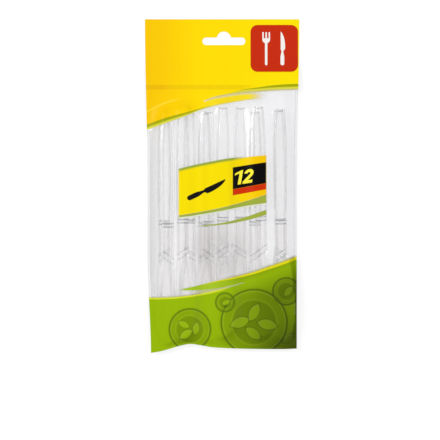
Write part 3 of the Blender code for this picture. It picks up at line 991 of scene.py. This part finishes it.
# Lines of the print, in the photograph's pixels
LABEL_LEFT = 178.7
LABEL_RIGHT = 266.3
LABEL_TOP = (
    (170, 172.4), (178.6, 170.4), (195, 166.4), (211.2, 163.1), (231.6, 159.5), (250, 157),
    (270, 155.2),
)
LABEL_BOTTOM = (
    (170, 216.6), (180.6, 215.2), (200, 212), (221.4, 207.8), (245, 201.4), (266, 194.6), (270, 193),
)
LABEL_BAND = ((170, 218.0), (185, 216.8), (200, 214.6), (221.4, 210.9), (245, 206.2), (270, 202.6))
STRIP_TOP = ((190, 227.4), (201, 225.6), (221.4, 223), (241.8, 218), (266, 209.8), (270, 208.4))
STRIP_LOW = ((190, 227.9), (201, 226.6), (221.4, 224.8), (241.8, 221.4), (266, 214.9), (270, 213.8))
BOX_LEFT = 232.7
BOX_RIGHT = 265.9
BOX_TOP = ((225, 168.9), (232.7, 167.6), (265.9, 162.4), (272, 161.5))
BOX_LOW = ((225, 190.9), (232.7, 189.5), (265.9, 183.4), (272, 182.2))
# Course of the painted highlight line across the header's left part
HEADER_HIGHLIGHT_LINE = ((140, 115), (147.9, 111.3), (161, 105), (174.7, 100.3), (184, 98.4), (200, 97))
LEAVES = (
    (240, 322, 20, 20), (254, 312, 62, 19), (267, 324, -12, 20), (253, 333, -38, 18),
    (186, 334, 35, 15), (196, 328, 80, 13), (184, 324, -25, 12), (288, 291, 50, 12), (226, 302, 25, 9),
    (288, 338, 40, 14),
)
LEAF_ROUND = 1.25
# Place and size of the painted shade over a crumpled patch of film
CRUMPLE_SHADE_SPOT = (221, 252, 15)
PLATES = ((254, 322, 32), (190, 329, 20), (286, 291, 13), (225, 302, 9))

HEADER_LEFT_EDGE = (
    (145, 128.8), (150, 126.8), (160, 123.3), (170, 119.9), (180, 116.8), (190, 113.4), (200, 109.6),
    (215, 105.8), (230, 102.9), (245, 100.2), (258, 98.6), (270.5, 97.0), (299, 93.0),
)
HEADER_RIGHT_EDGE = (
    (145, 112), (200, 102), (215, 97.0), (230, 93.3), (245, 90.3), (258, 89.2), (270, 88.1),
    (290, 87.2), (299, 86.9),
)
WEDGE_TOP = (
    (145, 118), (203, 101.4), (215, 97.1), (230, 94.1), (245, 92.1), (258, 91.1), (270, 90.2),
    (290, 89.3), (299, 89.0),
)
TONGUE_TOP = (
    (145, 118), (205.2, 101.5), (215, 98.9), (230, 96.4), (245, 94.5), (258, 94.1), (270, 94.6),
    (299, 101),
)
BASE_EDGE = (
    (148, 298.0), (164.3, 297.9), (185.7, 296.2), (207.1, 292.8), (220.5, 289.6), (234, 285.6),
    (246, 282.0), (262, 278.0), (299, 269),
)
BASE_TONGUE = (
    (148, 295.6), (177, 289.8), (203.1, 284.0), (216.5, 280.9), (231.6, 278.0), (245.2, 274.6),
    (255.8, 271.5), (266.3, 267.8), (276.8, 264.2), (290, 259.4), (299, 256.0),
)
TONGUE_LOW = (
    (148, 291), (177.9, 290.2), (203.1, 289.8), (218.9, 287.8), (234.7, 284.7), (246, 282.4),
    (299, 281),
)


def line_mask(g, value, places, width, soft=0.6):
    """Thin lines where a value passes each of the places."""
    whole = 0.0
    for place in places:
        away = g.math("ABSOLUTE", g.minus(value, place))
        whole = g.most(whole, g.step(g.minus(width, away), 0.0, width * soft))
    return whole


def seam_mask(g):
    """The sealed strips along both sides, where the film lies double."""
    flare_share = g.minus(1.0, g.step(g.minus(TOP_EDGE, g.y), 0.0, FLARE_LENGTH))
    pull = g.step(g.minus(CORNER_LENGTH - TOP_EDGE, g.y), 0.0, CORNER_LENGTH)
    left = g.scaled(pull, CORNER_PULL, g.scaled(flare_share, -HEADER_FLARE, -HALF_BAG))
    right = g.scaled(flare_share, HEADER_FLARE, HALF_BAG)
    inward = g.math("MINIMUM", g.minus(g.x, left), g.minus(right, g.x))
    strip = g.minus(1.0, g.step(inward, SEAM, SEAM + SEAM_SOFT))
    return g.scaled(line_mask(g, inward, (SEAM, SEAM_LINE), SEAM_LINE), 0.9, strip)


def film_glass(g, normal, relief):
    """Thin clear film: mostly see-through, with a clear reflection and a trace of haze, and painted shade
    that darkens its left margin and a crumpled patch.
    """
    # Painted shade: the film darker along its left margin, a little more so lower down
    shaded_margin = g.blend(g.step(g.y, py(250), py(185)), FILM_LEFT_LOW_SHADE, FILM_LEFT_SHADE)
    tone = g.blend(g.across(146, 166), shaded_margin, FILM_MIDDLE)
    tone = g.blend(g.across(281, 290), tone, FILM_RIGHT)
    # Painted shade: a greyer spot, with darker lines along its creases
    centre, radius = (px(CRUMPLE_SHADE_SPOT[0]), py(CRUMPLE_SHADE_SPOT[1])), CRUMPLE_SHADE_SPOT[2] * PIXEL
    tone = g.blend(disc_mask(g, centre, radius * 2, radius), tone, FILM_PATCH_SHADE)
    crumple_shade = g.step(g.noise(620, 3.0, (1.0, 0.6, 1.0)), 0.50, 0.62)
    shade_patch = disc_mask(g, centre, radius, radius * 0.7)
    tone = g.blend(g.both(crumple_shade, shade_patch, 0.8), tone, FILM_CRUMPLE_SHADE)
    tone = g.blend(seam_mask(g), tone, FILM_SEAM)
    haze = g.principled(FILM_HAZE, 0.4, normal)
    hazed = g.mix(g.scaled(relief, 0.05, 0.01), g.clear(tone), haze)
    return g.mix(g.sheen(0.022, 0.35, normal), hazed, g.gloss(0.14, normal))


def film_relief(g):
    """Fine waviness of stretched film."""
    return g.scaled(g.noise(420, 3.0, (1.0, 0.4, 1.0)), 0.25, g.noise(90, 2.0, (1.0, 0.3, 0.4)))


class Print(Graph):
    """A film material with fields of ink, laid down one over the other."""

    def __init__(self, name):
        super().__init__(name)
        self.colour, self.cover = (0.9, 0.9, 0.9, 1.0), 0.0

    def line(self, points):
        return self.curve(spots(points))

    def past(self, first, second, soft):
        soft *= PIXEL
        return self.step(self.minus(first, second), -soft, soft)

    def moved(self, line, down):
        """The line moved down by a distance in pixels, which may be a socket."""
        if isinstance(down, bpy.types.NodeSocket):
            return self.minus(line, self.times(down, PIXEL))
        return self.minus(line, down * PIXEL) if down else line

    def above(self, line, down=0.0, soft=EDGE_SOFT):
        return self.past(self.y, self.moved(line, down), soft)

    def below(self, line, down=0.0, soft=EDGE_SOFT):
        return self.past(self.moved(line, down), self.y, soft)

    def right_of(self, x, soft=EDGE_SOFT):
        return self.across(x - soft, x + soft)

    def left_of(self, x, soft=EDGE_SOFT):
        return self.minus(1.0, self.right_of(x, soft))

    def paint(self, ink, *masks):
        mask = self.both(*masks)
        self.colour = self.blend(mask, self.colour, ink)
        self.cover = self.most(self.cover, mask)

    def shade(self, factor, *masks):
        """Darkens the ink by a factor colour where there is ink."""
        self.colour = self.blend(self.both(*masks), self.colour, factor, "MULTIPLY")

    def tint(self, ink, share, *masks):
        """Changes the ink's colour where there is ink, without adding any."""
        self.colour = self.blend(self.both(*masks, share), self.colour, ink)


def paint_header(g):
    """The yellow header, whose lower edge runs out in a long tongue above a green and lime line."""
    line, right_line = g.line(HEADER_LEFT_EDGE), g.line(HEADER_RIGHT_EDGE)
    wedge, tongue, highlight_line = g.line(WEDGE_TOP), g.line(TONGUE_TOP), g.line(HEADER_HIGHLIGHT_LINE)
    sunny = g.blend(g.across(144, 212), YELLOW_LEFT, YELLOW)
    sunny = g.blend(g.across(220, 292), sunny, YELLOW_RIGHT)
    g.paint(sunny, g.above(line), g.left_of(204))
    tongue_tone = g.blend(g.across(196, 214), sunny, YELLOW_TONGUE)
    g.paint(tongue_tone, g.above(line, soft=0.7), g.below(tongue, soft=0.5), g.left_of(259, 11))
    g.paint(sunny, g.above(wedge))
    # Painted highlight: a lighter yellow line along the header's left part
    g.tint(YELLOW_HIGHLIGHT, 0.6, g.above(highlight_line, 0.8), g.below(highlight_line, -0.8), g.left_of(176, 8))
    taper = g.minus(1.0, g.across(160, 218))
    g.paint(OLIVE, g.above(line, 0.3), g.below(line, g.times(taper, -3.2)), g.left_of(213, 4))
    g.paint(LIME, g.below(line), g.above(line, g.scaled(taper, 1.8, 0.5)), g.left_of(262, 6))
    swell = g.times(g.across(222, 292), -2.9)
    g.paint(OLIVE, g.above(right_line), g.below(right_line, swell), g.right_of(228, 5))
    g.paint(LIME, g.below(right_line), g.above(wedge), g.right_of(232, 6))
    g.paint(GAP_TONE, g.below(wedge), g.above(tongue), g.right_of(206, 3), g.left_of(256, 16))
    g.paint(GREY_LINE, g.below(wedge, -0.2), g.above(wedge, 1.1), g.right_of(212, 8))


def paint_weld(g):
    """The heat-sealed band across the header: a darker strip with fine upright ribs."""
    band = g.both(g.above(WELD_BOTTOM), g.below(WELD_TOP))
    waves = {"Vector": g.place, "Scale": 1 / (WELD_RIB * WAVES_PER_UNIT)}
    ribs = g.out("ShaderNodeTexWave", waves, "Fac", wave_type="BANDS", bands_direction="X")
    g.tint(YELLOW_WELD, 0.9, band, g.left_of(168, 6))
    g.tint(YELLOW_RIB, 0.75, band, ribs, g.right_of(168, 3), g.left_of(250, 10))
    return g.both(band, ribs)


def paint_label(g):
    """The label: a yellow field between curved green lines, with a black box and a red band."""
    top, bottom, band = g.line(LABEL_TOP), g.line(LABEL_BOTTOM), g.line(LABEL_BAND)
    strip_top, strip_low = g.line(STRIP_TOP), g.line(STRIP_LOW)
    wide = g.both(g.right_of(LABEL_LEFT, 1.0), g.left_of(LABEL_RIGHT, 0.8))
    orange = g.blend(g.across(225, 270), YELLOW_LABEL, YELLOW_LEFT)
    g.paint(orange, wide, g.below(top), g.above(bottom))
    g.paint(GREEN_LINE, wide, g.below(top, -1.4), g.above(top, 1.2, 1.3), g.left_of(240, 10))
    g.paint(GREEN_SOFT, wide, g.below(bottom), g.above(band))
    g.paint(PALE_BAND, wide, g.below(band), g.above(band, 1.2))
    g.paint(GREEN_SOFT, wide, g.below(strip_top), g.above(strip_low), g.right_of(200, 6))
    box_top, box_low = g.line(BOX_TOP), g.line(BOX_LOW)
    box_wide = g.both(g.right_of(BOX_LEFT), g.left_of(BOX_RIGHT))
    g.paint(BLACK, box_wide, g.below(box_top), g.above(box_low))
    g.paint(RED_BAND, box_wide, g.below(box_low), g.above(box_low, 6.0))


def ring_mask(g, centre, radius, width):
    """A soft ring round a place in the pack's plane."""
    return line_mask(g, g.reach(centre), (radius,), width, 0.8)


def disc_mask(g, centre, radius, soft):
    return g.step(g.minus(radius, g.reach(centre)), -soft, soft)


def leaf_mask(g, centre, angle, length):
    """A pointed leaf: where two discs overlap."""
    half = length / 2
    radius = half * LEAF_ROUND
    off = math.sqrt(radius**2 - half**2)
    away = Vector((math.sin(angle), -math.cos(angle))) * off
    middle = Vector(centre)
    return g.both(*(disc_mask(g, spot, radius, PIXEL * 0.5) for spot in (middle - away, middle + away)))


def paint_plate(g, ink, centre, radius):
    """A plate seen from above, tone on tone: a dark outline, a light lip and a well."""
    g.shade(SHADE_PLATE, ink, disc_mask(g, centre, radius * 1.07, radius * 0.12))
    g.tint(GREEN_LIGHT, 0.40, ink, ring_mask(g, centre, radius * 0.97, PIXEL * 1.3))
    g.tint(GREEN_DARK, 0.85, ink, ring_mask(g, centre, radius * 1.02, PIXEL * 1.4))
    g.shade(SHADE_PLATE, ink, disc_mask(g, centre, radius * 0.68, PIXEL * 1.5))
    g.tint(GREEN_LIGHT, 0.35, ink, ring_mask(g, centre, radius * 0.71, PIXEL * 0.9))


def paint_leaf(g, ink, centre, angle, length):
    g.shade(SHADE_LEAF, ink, leaf_mask(g, centre, angle, length * 1.14))
    g.tint(GREEN_LIGHT, 0.75, ink, leaf_mask(g, centre, angle, length))
    core = (centre[0] + length * 0.03, centre[1] - length * 0.03)
    g.tint(GREEN, 0.8, ink, leaf_mask(g, core, angle, length * 0.84))


def paint_base(g):
    """The green foot of the bag, with plates and leaves drawn tone on tone."""
    base, tongue, tongue_low = g.line(BASE_EDGE), g.line(BASE_TONGUE), g.line(TONGUE_LOW)
    ink = g.below(base)
    g.paint(EDGE_SHADOW, g.below(tongue, -1.8, 2.4), g.above(tongue, 2.0), g.right_of(222, 14))
    g.paint(EDGE_SHADOW, g.below(base, -1.4, 2.0), g.left_of(214, 12))
    g.paint(GREEN, ink)
    g.paint(GAP_LOW, g.below(tongue_low), g.above(base), g.right_of(196, 10), g.left_of(246, 2))
    upper = g.blend(g.across(205, 250), GREEN_LIGHT, GREEN)
    g.paint(upper, g.below(tongue), g.above(tongue_low), g.right_of(180, 6))
    for x, y, radius in PLATES:
        paint_plate(g, ink, (px(x), py(y)), radius * PIXEL)
    for x, y, angle, length in LEAVES:
        paint_leaf(g, ink, (px(x), py(y)), math.radians(angle), length * PIXEL)
    g.shade(SHADE_RIGHT, g.across(205, 288), g.below(tongue, 14, 16))
    corner_ends = px(262) - py(330), px(298) - py(352)
    g.shade(SHADE_CORNER, g.step(g.minus(g.x, g.y), *corner_ends), ink)
    g.shade(SHADE_TOP, g.below(tongue), g.above(tongue, 4.5, 3), g.right_of(232, 12))
    g.paint(EDGE_LIME, g.below(base, -0.5), g.above(base, 1.1), g.left_of(226, 6))
    swell = g.scaled(g.across(200, 290), 2.0, 0.4)
    g.paint(EDGE_YELLOW, g.below(tongue, -0.4), g.above(tongue, swell), g.right_of(204, 10))


def film_shader(g, relief, height):
    """Ink where the film is printed, and clear film elsewhere."""
    normal = g.bump(height, 0.5, 0.0004)
    return g.done(g.mix(g.cover, film_glass(g, normal, relief), ink_shader(g, g.colour, normal)))


def front_material():
    g = Print("printed_film_front")
    relief = film_relief(g)
    paint_header(g)
    ribs = paint_weld(g)
    paint_label(g)
    paint_base(g)
    return film_shader(g, relief, g.scaled(ribs, 0.5, relief))


def back_material():
    g = Print("printed_film_back")
    relief = film_relief(g)
    g.paint(YELLOW, g.above(py(84)))
    g.paint(GREEN, g.below(py(303)))
    return film_shader(g, relief, relief)


def painted_knife_lines(g, along):
    """The moulding's dark lines of painted shade, at its end, collar and shoulder, and its white lines of
    painted highlight beside them.
    """
    square = g.times(g.x, g.x)
    rounded, bowed = g.scaled(square, END_BOW, along), g.scaled(square, COLLAR_BOW, along)
    slanted = g.scaled(g.x, -SHOULDER_SLOPE, along)
    # Painted shade: dark lines at the end, the collar and the shoulder ridges
    end = g.times(line_mask(g, rounded, (0.0013,), 0.0005), 0.5)
    collars = COLLAR_MIDDLE - 0.0012, COLLAR_MIDDLE + 0.0014
    collar = g.times(line_mask(g, bowed, collars, 0.0005), 0.8)
    ridges = SHOULDER - 0.0018, SHOULDER + SHOULDER_RIDGES[1]
    ridge = g.times(line_mask(g, slanted, ridges, 0.0004), 0.6)
    # Painted highlights: white lines at the middle of the collar and at the shoulder
    white = g.most(
        line_mask(g, bowed, (COLLAR_MIDDLE,), 0.0010), line_mask(g, slanted, (SHOULDER,), 0.0008)
    )
    return g.most(g.most(end, collar), ridge), white


def knife_material():
    """Clear moulding, whiter along its walls, where faces slant and on white lines as painted highlight,
    with darker lines of painted shade at its end, collar and shoulder and where walls meet the web.
    """
    g = Graph("clear_moulded_plastic")
    flow = g.noise(160, 2.0, (1.0, 0.15, 1.0))
    normal = g.bump(flow, 0.2, 0.0003)
    along = g.times(g.y, -1.0)
    shade_lines, white = painted_knife_lines(g, along)
    past_collar = g.step(along, COLLAR_MIDDLE, COLLAR_MIDDLE + NECK_LENGTH * 0.2)
    tone = g.blend(past_collar, HANDLE_CLEAR, BLADE_CLEAR)
    # Painted shade: a darker tone where the walls meet the web
    crease_shade = g.blend(past_collar, HANDLE_CREASE_SHADE, BLADE_CREASE_SHADE)
    tone = g.blend(g.attribute("crease"), tone, crease_shade)
    # Painted shade: the dark lines darken the clear tone
    tone = g.blend(g.times(shade_lines, 0.9), tone, KNIFE_SHADE_LINE)
    up = g.out("ShaderNodeSeparateXYZ", {0: g.out("ShaderNodeNewGeometry", {}, "Normal")}, 2)
    milky = g.both(g.step(up, 0.5, 0.95), g.scaled(flow, 0.08, TOP_MILK - 0.04))
    # Painted highlights: milky white along the tops of the walls, where faces slant, and on the white lines
    milky = g.scaled(g.attribute("wall"), 0.40, milky)
    milky = g.scaled(g.facing(0.3, normal), 0.20, milky)
    milky = g.scaled(white, 0.45, milky, clamp=True)
    milky = g.times(milky, g.minus(1.0, g.times(shade_lines, 0.9)))
    solid = g.mix(milky, g.clear(tone), g.principled(KNIFE_BODY, 0.2, normal))
    return g.done(g.mix(g.sheen(0.045, 0.4, normal), solid, g.gloss(0.06, normal)))


def floor_material():
    """Pale matt paper that the eye, and what the pack mirrors or lets through, sees as white."""
    g = Graph("pale_floor")
    tint = g.blend(g.noise(3.0, 2.0), FLOOR_DARK, FLOOR_PALE)
    matt = g.principled(tint, 0.9, specular=0.1)
    ray = g.node("ShaderNodeLightPath").outputs
    seen = g.most(g.most(ray["Is Camera Ray"], ray["Is Glossy Ray"]), ray["Is Transmission Ray"])
    glow = g.out("ShaderNodeEmission", {"Strength": g.times(seen, FLOOR_GLOW)})
    return g.done(g.out("ShaderNodeAddShader", {0: matt, 1: glow}))


# Stage
FLOOR_SIZE, FLOOR_LEVEL = 6.0, -0.0002
SENSOR, CAMERA_DISTANCE = 36.0, 2.4
LAMPS = (("key", (-0.55, 0.25, 0.75), 0.38, 3.5), ("fill", (0.6, -0.3, 0.9), 0.7, 1.6))


def make_floor():
    bpy.ops.mesh.primitive_plane_add(size=FLOOR_SIZE, location=(0, 0, FLOOR_LEVEL))
    floor = bpy.context.object
    floor.name = "floor"
    floor.data.materials.append(floor_material())


def make_world():
    world = bpy.data.worlds.new("studio")
    world.use_nodes = True
    tree = world.node_tree
    back = tree.nodes["Background"]
    back.inputs["Color"].default_value = (1.0, 1.0, 1.0, 1.0)
    ray = tree.nodes.new("ShaderNodeLightPath")
    level = tree.nodes.new("ShaderNodeMapRange")
    level.inputs["To Min"].default_value = SKY_LEVEL
    level.inputs["To Max"].default_value = 1.0
    tree.links.new(ray.outputs["Is Glossy Ray"], level.inputs["Value"])
    tree.links.new(level.outputs[0], back.inputs["Strength"])
    bpy.context.scene.world = world


def softbox(name, place, size, power):
    """A square lamp that looks at the middle of the pack."""
    lamp = bpy.data.lights.new(name, "AREA")
    lamp.shape = "SQUARE"
    lamp.size = size
    lamp.energy = power
    made = link_object(name, lamp)
    made.location = place
    made.rotation_euler = (-Vector(place)).to_track_quat("-Z", "Y").to_euler()


def make_camera():
    camera = bpy.data.cameras.new("camera")
    camera.sensor_width = SENSOR
    camera.lens = SENSOR * CAMERA_DISTANCE / (IMAGE_SIZE * PIXEL)
    camera.clip_start = 0.01
    made = link_object("camera", camera)
    made.location = (px(IMAGE_SIZE / 2), py(IMAGE_SIZE / 2), CAMERA_DISTANCE)
    bpy.context.scene.camera = made


drape = Drape(make_knives(knife_material()))
film_surface = surface_tree([make_film(front_material(), back_material())])
make_prints()
make_floor()
make_world()
for lamp in LAMPS:
    softbox(*lamp)
make_camera()
scene = bpy.context.scene
scene.view_settings.view_transform = "Standard"
scene.cycles.transparent_max_bounces = 48
scene.cycles.max_bounces = 16
